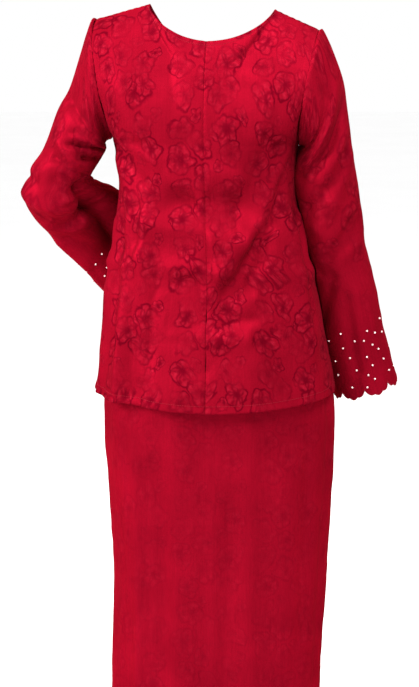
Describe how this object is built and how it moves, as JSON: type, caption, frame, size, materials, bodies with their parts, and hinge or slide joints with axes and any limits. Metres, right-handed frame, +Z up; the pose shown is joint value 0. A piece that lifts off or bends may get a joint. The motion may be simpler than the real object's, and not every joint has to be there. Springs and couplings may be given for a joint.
{
  "type": "worn baju kurung, tunic and long skirt",
  "caption": "Hip-length fitted tunic with long scalloped, pearl-trimmed sleeves over a straight ankle-length skirt, held in the hollow shape it has when worn with one hand at the waist",
  "frame": {"origin": "middle of the neck opening, level with the neck ends of the shoulder seams, where the wearer's shoulders carry the tunic", "axes": "+Z up, -Y out of the wearer's front, +X to the wearer's left"},
  "size_m": [0.5988, 0.3329, 1.3022],
  "materials": {
    "tunic_cloth": "red jacquard with woven flower outlines, soft satin sheen",
    "sleeve_cloth": "red jacquard, flowers fading to plain satin at the pearl-trimmed cuff",
    "skirt_cloth": "red jacquard, flowers faint, soft satin sheen"
  },
  "bodies": {
    "root": {"tunic_back_left": "tunic_cloth", "tunic_back_right": "tunic_cloth", "tunic_front": "tunic_cloth", "sleeve_left": "sleeve_cloth", "sleeve_right": "sleeve_cloth", "skirt_back": "skirt_cloth", "skirt_front": "skirt_cloth", "skirt_waistband": "skirt_cloth"}
  },
  "joints": []
}
